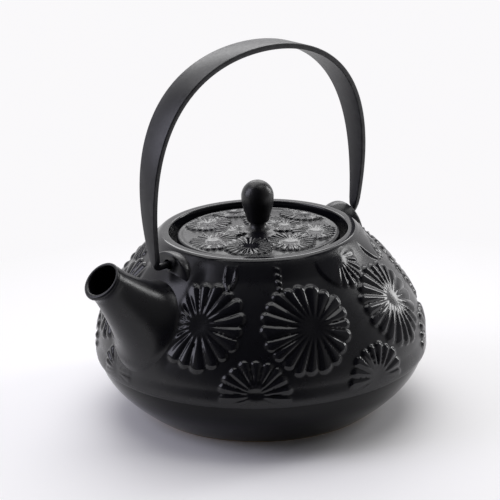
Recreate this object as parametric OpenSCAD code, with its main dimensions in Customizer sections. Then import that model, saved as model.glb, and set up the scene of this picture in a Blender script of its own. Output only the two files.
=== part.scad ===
// Squat stoneware teapot with a sunken lid, a short spout, a steel bail handle
// hooked into two lugs, and a removable steel infuser basket.
// Millimetres, +Z up, +X towards the spout, origin on the pot's axis at the foot.

/* [Pot] */
// Height of the rim above the table
pot_h = 86; // [80:1:94]
// Largest diameter of the pot
belly_d = 160; // [150:1:176]
// Height of the widest point
belly_z = 33; // [30:1:38]
// Inset of the overhanging lower edge from the widest point
ridge_in = 1; // [0.5:0.25:2]
// Overhang of that edge past the lower bowl
overhang = 1.5; // [1:0.25:2.5]
// Height of the overhanging edge
waist_z = 26.5; // [22:0.5:28]
// Diameter of the foot ring
foot_d = 111; // [100:1:120]
// Width of the foot ring
foot_w = 6; // [4:0.5:9]
// Depth of the hollow inside the foot ring
foot_recess = 2; // [1:0.25:3]
// Thickness of the wall at the belly
wall = 5; // [4:0.25:6]
// Thickness of the floor
floor_t = 4.5; // [3.5:0.25:7]
// How full the shoulder's curve is
shoulder_fullness = 1.8; // [1.6:0.05:2.1]
// How full the lower bowl's curve is
bowl_fullness = 1.7; // [1.4:0.05:2.2]
// How full the inside of the shoulder is
cavity_fullness = 3.2; // [2.8:0.1:3.6]

/* [Mouth] */
// Diameter of the mouth at the lid
mouth_d = 84.6; // [83:0.2:88]
// Rounding of the rim's outside
rim_round = 3; // [2:0.25:3.5]
// Rounding of the rim's inner edge
lip_round = 0.8; // [0.4:0.1:1.6]
// Width of the ledge that carries the infuser and the lid
ledge_w = 6; // [4.5:0.25:7]
// Thickness of the ledge
ledge_t = 3.6; // [2.5:0.1:5]

/* [Relief] */
// Height of the petals above the ground
relief_depth = 1.3; // [0.8:0.1:1.6]
// Distance of the relief above the overhanging edge
relief_low = 2; // [1:0.5:4]
// Distance of the relief below the rim
relief_top = 4; // [3:0.5:8]
// Diameter of the flowers of the middle row
flower_d = 44; // [40:1:46]
// Diameter of the flowers of the lower row
low_flower_d = 35; // [30:1:38]
// Diameter of the flowers under the rim
top_flower_d = 25; // [20:1:28]
// Petals of a flower of the middle row
petal_count = 20; // [14:1:22]
// Petals of a smaller flower
small_petal_count = 16; // [12:1:20]
// Width of a petal, as a share of its spacing
petal_share = 0.8; // [0.6:0.05:0.85]
// Diameter of a flower's sunken heart, as a share of the flower's
heart_share = 0.24; // [0.2:0.02:0.4]
// Height of the petals on the lid
lid_relief_depth = 0.8; // [0.5:0.1:1]
// Diameter of the flowers on the lid
lid_flower_d = 24.4; // [20:0.4:26]

/* [Spout] */
// Distance of the spout's opening past the widest point
spout_reach = 13; // [8:0.2:18]
// Height of the centre of the opening below the rim
tip_drop = 2.6; // [0:0.2:6]
// Rise of the spout above the horizontal, in degrees
spout_rise = 46; // [42:1:52]
// Outer diameter of the spout's lip
tip_d = 20.4; // [18:0.2:22]
// Diameter of the opening
tip_bore = 15; // [12:0.2:15.4]
// Diameter of the narrowest part, just behind the lip
spout_neck_d = 18.4; // [16.8:0.2:20]
// Distance of the narrowest part from the opening
spout_neck_s = 5; // [4:0.5:8]
// Diameter of the spout at its root
spout_root_d = 41.6; // [36:0.4:44]
// Length of the spout along its axis, to its root inside the wall
spout_len = 44; // [42:0.5:50]
// Diameter of the channel at the root
spout_root_bore = 25; // [20:0.5:28]
// How late the spout widens towards its root
spout_flare = 1.25; // [1:0.05:1.6]

/* [Lugs] */
// Distance of a lug's flat face from the wall at the pivot
lug_out = 3.3; // [3:0.1:5]
// Radius of the half-round lug
lug_r = 14.5; // [13:0.25:16]
// Height of the lug's top above the rim
lug_above_rim = 0.8; // [0:0.2:2.4]
// Depth of the lug's rounded back
lug_depth = 13; // [11:0.5:14]
// Rounding of the face's edge
lug_edge = 1; // [0.5:0.25:2]
// Depth of the blind hole
lug_hole_depth = 5.5; // [4.5:0.25:6]

/* [Bail] */
// Height of the bail's pivot below the rim
pivot_drop = 5; // [4:0.25:6]
// Gap between the strap's end and the lug's face
strap_gap = 5.3; // [4:0.1:7]
// Height of the crown above the pivot
bail_rise = 92.7; // [85:0.5:110]
// How far the sides lean outwards
side_lean = 16.5; // [12:0.5:24]
// How far up the sides run before they turn inwards
side_pull = 88; // [80:0.5:92]
// How flat the crown is
crown_pull = 18; // [10:0.5:26]
// Thickness of the strap
strap_t = 2.6; // [1.8:0.1:3]
// Width of the strap at the crown
strap_w = 15.4; // [11:0.2:18]
// Width of the strap at its ends
strap_end_w = 4.4; // [3.2:0.1:6]
// Height above the pivot where the strap reaches its full width
taper_h = 84; // [60:1:90]
// How early the strap widens
taper_curve = 1.6; // [1.2:0.1:2]
// Diameter of the hooked ends
pin_d = 3.2; // [2.4:0.1:3.6]
// Radial play of a hooked end in its hole
pin_play = 0.6; // [0.3:0.05:0.8]
// Gap between a hooked end and the bottom of its hole
pin_end_gap = 0.8; // [0.4:0.1:1.2]

/* [Lid] */
// Gap between the lid's edge and the mouth
lid_gap = 3.7; // [2.8:0.1:4.3]
// Thickness of the lid at its edge
lid_t = 4.5; // [4:0.25:6]
// Depth of the lid's edge below the rim
lid_drop = 1.8; // [1:0.2:3]
// Rise of the lid towards its middle
lid_dome = 1.4; // [0.6:0.2:2]
// Rounding of the lid's upper edge
lid_edge_round = 1.5; // [0.8:0.1:2]
// Height of the locating ring under the lid
locating_h = 6; // [4:0.5:10]
// Thickness of the locating ring
locating_t = 3; // [2:0.25:4]
// Radial play between the locating ring and the infuser
locating_play = 0.8; // [0.4:0.1:1.5]

/* [Knob] */
// Largest diameter of the drop-shaped knob
knob_d = 15.4; // [13:0.2:18]
// Diameter of the drop near its lower end
knob_low_d = 10.8; // [9:0.2:12]
// Height of the drop
knob_h = 20.6; // [18:0.2:24]
// Rounding of the drop's lower end
knob_low_round = 2; // [1:0.25:3]
// Diameter of the stem
stem_d = 7.4; // [5:0.1:8]
// Height of the stem and its flared foot
stem_h = 3.2; // [2.4:0.1:5]
// Diameter of the flared foot
stem_foot_d = 12; // [10.5:0.2:14]

/* [Infuser] */
// Thickness of the steel rim
infuser_rim_t = 0.8; // [0.5:0.1:1.2]
// Thickness of the steel wall and base
infuser_t = 0.6; // [0.4:0.1:0.8]
// Depth of the basket below the ledge
infuser_h = 49; // [40:1:60]
// Radial play of the basket in the ledge
infuser_play = 1.3; // [0.6:0.1:1.6]
// Lap of the steel rim on the ledge, hidden under the lid
infuser_lap = 2; // [1.5:0.1:2.2]
// Diameter of a drain hole
drain_d = 2.4; // [1.6:0.1:3]
// Number of drain holes round the wall in one row
drain_count = 16; // [8:2:24]
// Number of rows of drain holes
drain_rows = 5; // [3:1:6]
// Rings of drain holes in the base
base_rings = 3; // [1:1:3]

/* [Colours] */
// Colour of the glazed stoneware
glaze_colour = "#2b2b31";
// Colour of the knob's glaze
knob_colour = "#1c1c20";
// Colour of the bail
bail_colour = "#232326";
// Colour of the infuser
steel_colour = "#b9bcc0";

/* [Hidden] */
$fn = 96;
// Straight steps in one curve of an outline
steps = 14;
// Straight steps in half of the bail's arch
arch_steps = 26;
// Overshoot of a cut past the face that it opens
cut = 1;

mouth_r = mouth_d / 2;
belly_r = belly_d / 2;
ridge_r = belly_r - ridge_in;
waist_r = ridge_r - overhang;
foot_r = foot_d / 2;
floor_z = foot_recess + floor_t;
seat_z = pot_h - lid_drop - lid_t - infuser_rim_t;
neck_r = mouth_r - ledge_w;
neck_z = seat_z - ledge_t;
// The shoulder leaves the rim's rounding where that rounding slopes at 45 degrees
rim_crest_r = mouth_r + rim_round;
shoulder_r = rim_crest_r + rim_round * sin(45);
shoulder_z = pot_h - rim_round * (1 - cos(45));
// Chamfer along the lower edge of the overhang
ridge_chamfer = 0.5;
pivot_z = pot_h - pivot_drop;
lug_z = pot_h + lug_above_rim - lug_r;
lug_face_x = wall_r(pivot_z) + lug_out;
bail_span = 2 * (lug_face_x + strap_gap) + strap_t;
tip_x = belly_r + spout_reach;
tip_z = pot_h - tip_drop;
pin_hole_d = pin_d + 2 * pin_play;
lid_z = seat_z + infuser_rim_t;
infuser_r = neck_r - infuser_play;
locating_r = infuser_r - infuser_t - locating_play;
lid_r = mouth_r - lid_gap;
lid_arc_r = lid_r - lid_edge_round;
knob_z = lid_z + lid_t + lid_dome;
basket_z = seat_z - infuser_h;
relief_low_z = waist_z + relief_low;
relief_top_z = pot_h - relief_top;
// Clear ring that the relief leaves round the spout and the lugs
relief_margin = 1.5;
// Steps of the ground between the flowers, and how far its cutter reaches past the wall
ground_steps = 9;
ground_reach = 6;
// Exponent of the stem's flare
stem_flare = 3;
// Angle at which the drop's lower rounding ends
low_round_end = -12;
// Length of the handles that bend the drop's side, as a share of its height
drop_pull = 0.45;

// Flowers on the wall, as [angle from the spout, height, diameter, petals, turn in petals]
FLOWERS = [
    [25.5, 61, flower_d, petal_count - 2, 0.2],
    [66.9, 59.4, flower_d, petal_count, 0.1],
    [111.5, 59, flower_d, petal_count, 0.4],
    [157.5, 59.5, flower_d, petal_count - 1, 0.3],
    [202.5, 60, flower_d, petal_count, 0],
    [247.5, 59.4, flower_d, petal_count - 1, 0.6],
    [292.5, 59.8, flower_d, petal_count, 0.8],
    [336, 60.5, flower_d, petal_count - 2, 0.5],
    [46.9, 32.5, low_flower_d, petal_count - 2, 0.6],
    [91.5, 31.5, low_flower_d, petal_count - 2, 0.2],
    [135, 32, low_flower_d, petal_count - 3, 0.5],
    [180, 31.5, low_flower_d, petal_count - 2, 0.1],
    [225, 32.5, low_flower_d, petal_count - 2, 0.7],
    [270, 31.5, low_flower_d, petal_count - 3, 0.4],
    [315, 32, low_flower_d, petal_count - 2, 0.9],
    [94, 80.5, top_flower_d, small_petal_count, 0.3],
    [131, 81, top_flower_d, small_petal_count - 1, 0.1],
    [226, 80.5, top_flower_d, small_petal_count, 0.5],
    [270, 81, top_flower_d, small_petal_count - 1, 0.7],
    [316, 80.5, top_flower_d, small_petal_count, 0.2]];
// Flowers on the lid, as [angle from the spout, distance from the axis, petals, turn in petals]
LID_FLOWERS = [
    [-111, 33, petal_count, 0.2],
    [-68, 27, petal_count, 0.6],
    [-6, 25.5, petal_count, 0.1],
    [39, 24, petal_count, 0.4],
    [88, 23.5, petal_count, 0],
    [133, 27, petal_count, 0.5],
    [188, 33, petal_count, 0.3]];

// Radius of the lower bowl at a share of its height
function bowl_r(low, high, share) = low + (high - low) * (1 - pow(1 - share, bowl_fullness));
// Radius of a shoulder at a share of its height
function shoulder_at(low, high, share, fullness) = high + (low - high) * (1 - pow(share, fullness));
// Point at a share of the way between two heights
function between(low, high, share) = low + (high - low) * share;
// Share of the way at one step
function share(i) = i / steps;
// Point of an arc about a centre, angle counted from +X
function arc(centre, r, angle) = centre + r * [cos(angle), sin(angle)];

// Point of a cubic curve with these ends and handles
function curve(start, start_handle, end_handle, end, t) = pow(1 - t, 3) * start
    + 3 * pow(1 - t, 2) * t * start_handle + 3 * (1 - t) * pow(t, 2) * end_handle + pow(t, 3) * end;

// Outer radius of the wall at a height above its overhanging edge
function wall_r(z) = z > belly_z
    ? shoulder_at(belly_r, shoulder_r, (z - belly_z) / (shoulder_z - belly_z), shoulder_fullness)
    : belly_r - ridge_in * pow((belly_z - z) / (belly_z - waist_z), 2);
// Slope of the wall's outward direction above the horizontal
function wall_tilt(z) = atan2(wall_r(z - 1) - wall_r(z + 1), 2);
// Height of the lid's upper surface above its underside
function lid_top(r) = lid_t + lid_dome * (1 - pow(r / lid_arc_r, 2));

// Solid outline of the pot, right half, without its hollow
function pot_outline() = concat(
    [[0, foot_recess], [foot_r - foot_w, foot_recess], [foot_r - foot_w, 0]],
    [for (i = [0:steps]) [bowl_r(foot_r, waist_r, share(i)), between(0, waist_z, share(i))]],
    [[ridge_r - ridge_chamfer, waist_z]],
    [for (i = [1:steps]) let (z = between(waist_z, belly_z, share(i))) [wall_r(z), z]],
    [for (i = [1:steps]) let (z = between(belly_z, shoulder_z, share(i))) [wall_r(z), z]],
    [for (i = [1:steps]) arc([rim_crest_r, pot_h - rim_round], rim_round, between(45, 90, share(i)))],
    [for (i = [0:steps]) arc([mouth_r + lip_round, pot_h - lip_round], lip_round, 90 + 90 * share(i))],
    [[mouth_r, seat_z], [0, seat_z]]);

// Outline of the hollow below the ledge, right half
function cavity_outline() = concat(
    [[0, floor_z]],
    [for (i = [0:steps]) [bowl_r(foot_r - wall, belly_r - wall, share(i)),
                          between(floor_z, belly_z, share(i))]],
    [for (i = [1:steps]) [shoulder_at(belly_r - wall, neck_r, share(i), cavity_fullness),
                          between(belly_z, neck_z, share(i))]],
    [[neck_r, seat_z + cut], [0, seat_z + cut]]);

module pot_solid() {
    rotate_extrude() polygon(pot_outline());
}

// Moves what follows to the spout's opening, with +Z running down the channel
module on_spout_axis() {
    translate([tip_x, 0, tip_z]) rotate([0, -(90 + spout_rise), 0]) children();
}

module spout_channel() {
    on_spout_axis()
        translate([0, 0, -cut])
        cylinder(h = spout_len + 2 * cut, d1 = tip_bore, d2 = spout_root_bore);
}

// One petal of a flower of that radius, pointing along +X
module petal(r, count) {
    tip = petal_share * PI * r / count;
    heart = heart_share * r;
    base = tip * heart_share;
    polygon([[heart, -base], [r - tip, -tip], [r, -tip / 3], [r, tip / 3], [r - tip, tip], [heart, base]]);
}

// The petals of one flower, standing upwards through the surface that they are cut from
module petals(r, count, turn) {
    translate([0, 0, -ground_reach])
        linear_extrude(height = 2 * ground_reach)
        for (i = [1:count]) rotate((i - turn) * 360 / count) petal(r, count);
}

module wall_flower(f) {
    rotate([0, 0, f[0]])
        translate([wall_r(f[1]), 0, f[1]])
        rotate([0, 90 - wall_tilt(f[1]), 0])
        rotate([0, 0, 90])
        petals(f[2] / 2, f[3], f[4]);
}

// What is cut away between the flowers of the wall
module wall_ground() {
    ground = [for (i = [0:ground_steps])
        let (z = between(relief_low_z, relief_top_z, i / ground_steps),
             depth = i == 0 || i == ground_steps ? 0 : relief_depth)
        [wall_r(z) - depth * cos(wall_tilt(z)), z - depth * sin(wall_tilt(z))]];
    difference() {
        rotate_extrude() polygon(concat(ground, [[belly_r + ground_reach, relief_top_z],
                                                 [belly_r + ground_reach, relief_low_z]]));
        for (f = FLOWERS) wall_flower(f);
        on_spout_axis()
            cylinder(h = spout_len, r = spout_root_d / 2 + relief_margin);
        for (m = [0, 1]) mirror([m, 0, 0])
            translate([0, 0, lug_z])
            rotate([0, 90, 0])
            cylinder(h = lug_face_x + ground_reach, r = lug_r + relief_margin);
    }
}

// What is cut away between the flowers of the lid
module lid_ground() {
    inner_r = stem_foot_d / 2 + relief_margin;
    ground = [for (i = [0:ground_steps])
        let (r = between(inner_r, lid_arc_r, i / ground_steps),
             depth = i == 0 || i == ground_steps ? 0 : lid_relief_depth)
        [r, lid_top(r) - depth]];
    difference() {
        rotate_extrude() polygon(concat(ground, [[lid_arc_r, lid_t + ground_reach],
                                                 [inner_r, lid_t + ground_reach]]));
        for (f = LID_FLOWERS) rotate([0, 0, f[0]])
            translate([f[1], 0, lid_t])
            rotate([0, 0, -f[0]])
            petals(lid_flower_d / 2, f[2], f[3]);
    }
}

module lug_hole() {
    translate([lug_face_x - lug_hole_depth, 0, pivot_z])
        rotate([0, 90, 0])
        cylinder(h = lug_hole_depth + cut, d = pin_hole_d);
}

module pot_body() {
    color(glaze_colour) difference() {
        pot_solid();
        wall_ground();
        rotate_extrude() polygon(cavity_outline());
        spout_channel();
        lug_hole();
        mirror([1, 0, 0]) lug_hole();
    }
}

module spout() {
    lip_r = (tip_d - tip_bore) / 4;
    body = [for (i = [0:steps]) [between(spout_neck_d, spout_root_d, pow(share(i), spout_flare)) / 2,
                                 between(spout_neck_s, spout_len, share(i))]];
    color(glaze_colour) difference() {
        on_spout_axis() rotate_extrude() union() {
            polygon(concat([[0, lip_r], [tip_d / 2 - lip_r / 2, lip_r]], body, [[0, spout_len]]));
            translate([tip_d / 2 - lip_r, lip_r]) circle(r = lip_r);
        }
        spout_channel();
        pot_solid();
    }
}

module lug() {
    back_depth = lug_depth - lug_edge;
    back = [for (i = [0:steps]) [lug_r * cos(90 * share(i)), -lug_edge - back_depth * sin(90 * share(i))]];
    front = [for (i = [0:steps]) arc([lug_r - lug_edge, -lug_edge], lug_edge, 90 - 90 * share(i))];
    difference() {
        translate([lug_face_x, 0, lug_z])
            rotate([0, 90, 0])
            rotate_extrude()
            polygon(concat([[0, 0]], front, back));
        lug_hole();
        pot_solid();
    }
}

module front_lug() {
    color(glaze_colour) lug();
}

module rear_lug() {
    color(glaze_colour) mirror([1, 0, 0]) lug();
}

// Middle line of the right half of the arch, from the pivot to the crown, as [x, z]
function arch_at(t) = curve([bail_span / 2, pivot_z],
                            [bail_span / 2 + side_lean, pivot_z + side_pull],
                            [crown_pull, pivot_z + bail_rise],
                            [0, pivot_z + bail_rise], t);
// Direction of that line
function arch_slope(t) = 3 * pow(1 - t, 2) * [side_lean, side_pull]
    + 6 * (1 - t) * t * [crown_pull - bail_span / 2 - side_lean, bail_rise - side_pull]
    + 3 * pow(t, 2) * [-crown_pull, 0];
// Point beside that line, positive away from the middle of the arch
function beside_arch(t, d) = let (s = arch_slope(t) / norm(arch_slope(t))) arch_at(t) + d * [s[1], -s[0]];
// Width of the strap at a share of the tapered height
function strap_at(h) = strap_end_w + (strap_w - strap_end_w) * (1 - pow(1 - h, taper_curve));

module bail() {
    outer = [for (i = [0:arch_steps]) beside_arch(i / arch_steps, strap_t / 2)];
    inner = [for (i = [0:arch_steps]) beside_arch(1 - i / arch_steps, -strap_t / 2)];
    side = [for (i = [0:steps]) [strap_at(share(i)) / 2, pivot_z + taper_h * share(i)]];
    side_back = [for (i = [0:steps]) [-side[steps - i][0], side[steps - i][1]]];
    top_z = pivot_z + bail_rise + strap_t;
    pin_in = lug_face_x - lug_hole_depth + pin_end_gap;
    end_x = bail_span / 2;
    color(bail_colour) union() {
        intersection() {
            rotate([90, 0, 0])
                linear_extrude(height = 2 * strap_w, center = true)
                for (m = [0, 1]) mirror([m, 0]) polygon(concat(outer, inner));
            rotate([90, 0, 90])
                linear_extrude(height = 2 * bail_span, center = true)
                polygon(concat(side, [[strap_w / 2, top_z], [-strap_w / 2, top_z]], side_back));
        }
        for (m = [0, 1]) mirror([m, 0, 0]) {
            translate([pin_in, 0, pivot_z])
                rotate([0, 90, 0])
                cylinder(h = end_x - pin_in, d = pin_d);
            translate([end_x - strap_t / 2, 0, pivot_z])
                rotate([0, 90, 0])
                cylinder(h = strap_t, d = strap_end_w);
        }
    }
}

module lid() {
    edge_arc = [for (i = [0:steps]) arc([lid_arc_r, lid_t - lid_edge_round], lid_edge_round, 90 * share(i))];
    dome = [for (i = [1:steps]) let (r = lid_arc_r * (1 - share(i))) [r, lid_top(r)]];
    ring = [for (p = dome) if (p[0] > stem_foot_d / 2) p];
    color(glaze_colour) translate([0, 0, lid_z]) union() {
        difference() {
            rotate_extrude() polygon(concat([[0, 0], [lid_r, 0]], edge_arc, ring,
                                            [[stem_foot_d / 2, lid_t + lid_dome], [0, lid_t + lid_dome]]));
            lid_ground();
        }
        translate([0, 0, -locating_h]) difference() {
            cylinder(h = locating_h, r = locating_r);
            translate([0, 0, -cut]) cylinder(h = locating_h + cut, r = locating_r - locating_t);
        }
    }
}

module lid_knob() {
    top_r = knob_d / 2;
    low_r = knob_low_d / 2;
    low_z = stem_h + knob_low_round;
    ball_z = stem_h + knob_h - top_r;
    foot = [for (i = [0:steps]) [between(stem_d, stem_foot_d, pow(1 - share(i), stem_flare)) / 2,
                                 stem_h * share(i)]];
    low = [for (i = [0:steps]) arc([low_r - knob_low_round, low_z], knob_low_round,
                                   between(-90, low_round_end, share(i)))];
    side_start = low[steps];
    side_end = [top_r, ball_z];
    reach = drop_pull * (ball_z - side_start[1]);
    start_handle = side_start + reach * [-sin(low_round_end), cos(low_round_end)];
    side = [for (i = [1:steps]) curve(side_start, start_handle, side_end - [0, reach], side_end, share(i))];
    top = [for (i = [1:steps]) arc([0, ball_z], top_r, 90 * share(i))];
    color(knob_colour) translate([0, 0, knob_z]) rotate_extrude()
        polygon(concat([[0, 0]], foot, low, side, top));
}

module infuser_rim() {
    color(steel_colour) translate([0, 0, seat_z]) difference() {
        cylinder(h = infuser_rim_t, r = neck_r + infuser_lap);
        translate([0, 0, -cut]) cylinder(h = infuser_rim_t + 2 * cut, r = infuser_r - infuser_t);
    }
}

module infuser_wall() {
    row_gap = infuser_h / (drain_rows + 2);
    color(steel_colour) difference() {
        translate([0, 0, basket_z]) cylinder(h = infuser_h, r = infuser_r);
        translate([0, 0, basket_z - cut]) cylinder(h = infuser_h + 2 * cut, r = infuser_r - infuser_t);
        for (row = [0:drain_rows - 1], i = [0:drain_count - 1])
            rotate([0, 0, (i + row % 2 / 2) * 360 / drain_count])
                translate([infuser_r - infuser_t - cut, 0, basket_z + row_gap * (row + 1)])
                rotate([0, 90, 0])
                cylinder(h = infuser_t + 2 * cut, d = drain_d);
    }
}

module infuser_base() {
    ring_gap = infuser_r / (base_rings + 1);
    color(steel_colour) translate([0, 0, basket_z - infuser_t]) difference() {
        cylinder(h = infuser_t, r = infuser_r);
        translate([0, 0, -cut]) cylinder(h = infuser_t + 2 * cut, d = drain_d);
        for (ring = [1:base_rings], i = [0:6 * ring - 1])
            rotate([0, 0, i * 60 / ring])
                translate([ring_gap * ring, 0, -cut])
                cylinder(h = infuser_t + 2 * cut, d = drain_d);
    }
}

pot_body();
spout();
front_lug();
rear_lug();
bail();
lid();
lid_knob();
infuser_rim();
infuser_wall();
infuser_base();
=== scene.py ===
"""Glazed stoneware teapot with chrysanthemum relief, a flat bail handle and a sunken lid."""

import math

import bmesh
import bpy
import numpy as np
from bpy.props import FloatProperty, FloatVectorProperty, IntProperty, PointerProperty
from mathutils import Matrix, Vector


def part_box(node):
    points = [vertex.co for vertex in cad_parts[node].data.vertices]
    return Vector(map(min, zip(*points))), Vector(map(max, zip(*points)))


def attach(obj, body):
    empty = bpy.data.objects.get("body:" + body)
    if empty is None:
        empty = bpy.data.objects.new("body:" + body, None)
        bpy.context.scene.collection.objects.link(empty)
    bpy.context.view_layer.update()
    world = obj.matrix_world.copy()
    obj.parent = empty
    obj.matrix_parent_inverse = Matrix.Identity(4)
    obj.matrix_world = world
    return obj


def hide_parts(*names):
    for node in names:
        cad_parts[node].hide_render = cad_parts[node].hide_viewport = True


bl_info = {
    "name": "Relief Teapot",
    "version": (1, 0, 0),
    "blender": (4, 5, 0),
    "location": "View3D > Sidebar > Teapot",
    "description": "Builds a stoneware teapot with flower relief round its solid parts",
    "category": "Add Mesh",
}

MM = 0.001
FULL_TURN = 2 * math.pi

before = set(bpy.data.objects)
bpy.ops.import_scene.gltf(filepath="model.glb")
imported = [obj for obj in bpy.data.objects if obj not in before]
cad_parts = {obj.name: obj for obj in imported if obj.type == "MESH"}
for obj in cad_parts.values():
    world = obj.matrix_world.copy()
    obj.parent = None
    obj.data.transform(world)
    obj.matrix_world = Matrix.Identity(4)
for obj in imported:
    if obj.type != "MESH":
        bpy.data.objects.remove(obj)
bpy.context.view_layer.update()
POT_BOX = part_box("pot_body")
LID_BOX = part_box("lid")
KNOB_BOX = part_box("lid_knob")
LUG_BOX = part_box("front_lug")


# Settings ---------------------------------------------------------------------------------

def length(name, description, default):
    """A size in metres."""
    return FloatProperty(name=name, description=description, default=default,
                         unit="LENGTH", precision=5)


def amount(name, description, default):
    """A plain number."""
    return FloatProperty(name=name, description=description, default=default, precision=4)


def angle(name, description, degrees):
    """An angle, given here in degrees and kept in radians."""
    return FloatProperty(name=name, description=description, default=math.radians(degrees),
                         unit="ROTATION")


def colour(name, description, default):
    """A linear colour."""
    return FloatVectorProperty(name=name, description=description, default=default,
                               subtype="COLOR", size=3, min=0, max=1)


class PotSizes(bpy.types.PropertyGroup):
    """The thrown body, from its foot to its rim"""

    height: length("Rim height", "Height of the rim above the table", POT_BOX[1].z)
    belly_r: length("Belly radius", "Largest radius of the pot", POT_BOX[1].x)
    belly_z: length("Belly height", "Height of the widest point", 33 * MM)
    ridge_r: length("Ridge radius", "Radius of the overhanging lower edge", 79 * MM)
    ridge_round: length("Ridge rounding", "Rounding along that edge", 0.5 * MM)
    waist_r: length("Waist radius", "Radius of the lower bowl under the overhang", 77.5 * MM)
    waist_z: length("Waist height", "Height of the overhanging edge", 26.5 * MM)
    foot_r: length("Foot radius", "Outer radius of the foot ring", 55.5 * MM)
    foot_w: length("Foot width", "Width of the foot ring", 6 * MM)
    foot_recess: length("Foot recess", "Depth of the hollow inside the foot ring", 2 * MM)
    foot_round: length("Foot rounding", "Rounding of the foot ring's edges", 0.6 * MM)
    wall: length("Wall", "Thickness of the wall at the belly", 5 * MM)
    floor_t: length("Floor", "Thickness of the floor", 4.5 * MM)
    shoulder_fullness: amount("Shoulder fullness", "How full the shoulder's curve is", 1.8)
    bowl_fullness: amount("Bowl fullness", "How full the lower bowl's curve is", 1.7)
    cavity_fullness: amount("Hollow fullness", "How full the inside of the shoulder is", 3.2)
    mouth_r: length("Mouth radius", "Radius of the mouth at the lid", 42.3 * MM)
    rim_round: length("Rim rounding", "Rounding of the rim's outside", 3 * MM)
    lip_round: length("Inner lip", "Rounding of the rim's inner edge", 0.8 * MM)
    seat_z: length("Seat height", "Height of the ledge that carries the infuser", 78.9 * MM)
    ledge_w: length("Ledge width", "Width of that ledge", 6 * MM)
    ledge_t: length("Ledge thickness", "Thickness of that ledge", 3.6 * MM)
    skin_t: length("Relief skin", "Thickness of the layer that carries the relief", 3 * MM)
    lap: length("Lap", "How far the lower bowl reaches into that layer", 1 * MM)
    turn_steps: IntProperty(name="Steps round", description="Faces round the relief",
                            default=624)
    rise_step: length("Step up", "Spacing of the relief's faces up the wall", 0.58 * MM)


class ReliefSizes(bpy.types.PropertyGroup):
    """The moulded flowers"""

    pot_depth: length("Depth on the pot", "Height of a petal above the ground", 1.35 * MM)
    lid_depth: length("Depth on the lid", "Height of a petal on the lid", 1.25 * MM)
    lid_above: length("Height above the lid", "How far a petal stands above its edge", 0.4 * MM)
    flute: amount("Flute", "Depth of the groove between petals, as a share", 0.8)
    heart: amount("Heart", "Height of a flower's heart, as a share", 0.32)
    edge: length("Petal edge", "Width of the slope at a petal's tip", 1.5 * MM)
    uneven: amount("Unevenness", "How much the petals differ in width", 0.11)
    uneven_tips: amount("Uneven tips", "How much the petals differ in length", 0.05)
    tip_round: amount("Tip rounding", "Length of a round tip in radii, times their number", 2.6)
    groove_start: amount("Groove start", "Where a groove starts, as a share of a petal", 0.12)
    groove_run: amount("Groove run", "Over which share of a petal it deepens", 0.35)
    pot_power: amount("Pot petals", "Fullness of the pot's petals, where lower is fuller", 1.0)
    lid_power: amount("Lid petals", "Fullness of the lid's petals, where lower is fuller", 0.5)
    bud_w: length("Bud width", "Half the width of a bud", 3.4 * MM)
    bud_h: length("Bud height", "Half the height of a bud", 6.2 * MM)
    bud_z: length("Bud level", "Height of a bud's middle above the table", 79.5 * MM)
    stem_w: length("Stem width", "Half the width of a twisted stem", 2 * MM)
    stem_h: length("Stem height", "Half the height of a twisted stem", 8 * MM)
    stem_z: length("Stem level", "Height of a stem's middle above the table", 80 * MM)
    stem_pitch: length("Stem pitch", "Height of one turn of a twisted stem", 3.3 * MM)
    rim_fade: length("Fade at the rim", "Length over which the ground rises to the rim", 11 * MM)
    ridge_fade: length("Fade at the ridge", "Length over which it rises to the ridge", 8 * MM)
    spout_fade: length("Fade at the spout", "Length over which it rises to the spout", 6 * MM)
    lug_fade: length("Fade at the lugs", "Length over which it rises to a lug", 7 * MM)
    lid_fade: length("Fade at the lid's edge", "Length over which it rises to the edge", 2 * MM)


class SpoutSizes(bpy.types.PropertyGroup):
    """The spout"""

    tip_x: length("Tip distance", "Distance of the opening from the pot's axis", 93 * MM)
    tip_z: length("Tip height", "Height of the opening's centre", 83.4 * MM)
    rise: angle("Rise", "Slope of the spout above the horizontal", 46)
    tip_r: length("Lip radius", "Outer radius of the lip, where it pours", 10.2 * MM)
    back_r: length("Lip's back", "Radius of the lip on the pot's side", 8.9 * MM)
    bore_r: length("Bore radius", "Radius of the opening", 7.5 * MM)
    neck_r: length("Neck radius", "Radius just behind the lip", 9.2 * MM)
    neck_s: length("Neck distance", "Distance of the neck from the opening", 5 * MM)
    root_r: length("Root radius", "Radius at the root", 20.8 * MM)
    root_s: length("Root distance", "Distance of the root from the opening", 44 * MM)
    root_bore_r: length("Root bore", "Radius of the channel at the root", 12.5 * MM)
    flare: amount("Flare", "How late the spout widens", 1.25)
    fillet: length("Root fillet", "Glaze fillet where the spout meets the pot", 2.2 * MM)
    sunk: length("Let in", "How deep the spout is let into the wall", 2.6 * MM)
    bare: length("Bare ground", "Width without flowers beside the spout", 1.5 * MM)


class LugSizes(bpy.types.PropertyGroup):
    """The two half-round lugs that carry the bail"""

    face_x: length("Face distance", "Distance of a lug's face from the axis", LUG_BOX[1].x)
    radius: length("Lug radius", "Radius of the half-round lug", 14.5 * MM)
    centre_z: length("Lug height", "Height of the lug's centre", LUG_BOX[1].z - 14.5 * MM)
    depth: length("Lug depth", "Depth of its rounded back", 13 * MM)
    edge: length("Edge rounding", "Rounding of the face's edge", 1 * MM)
    hole_r: length("Hole radius", "Radius of the blind hole", 2.2 * MM)
    hole_depth: length("Hole depth", "Depth of the blind hole", 5.5 * MM)
    pivot_z: length("Pivot height", "Height of the bail's pivot", 81 * MM)
    sunk: length("Let in", "How deep a lug is let into the shoulder", 2.2 * MM)
    bare: length("Bare ground", "Width without flowers beside a lug", 0.5 * MM)


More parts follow.
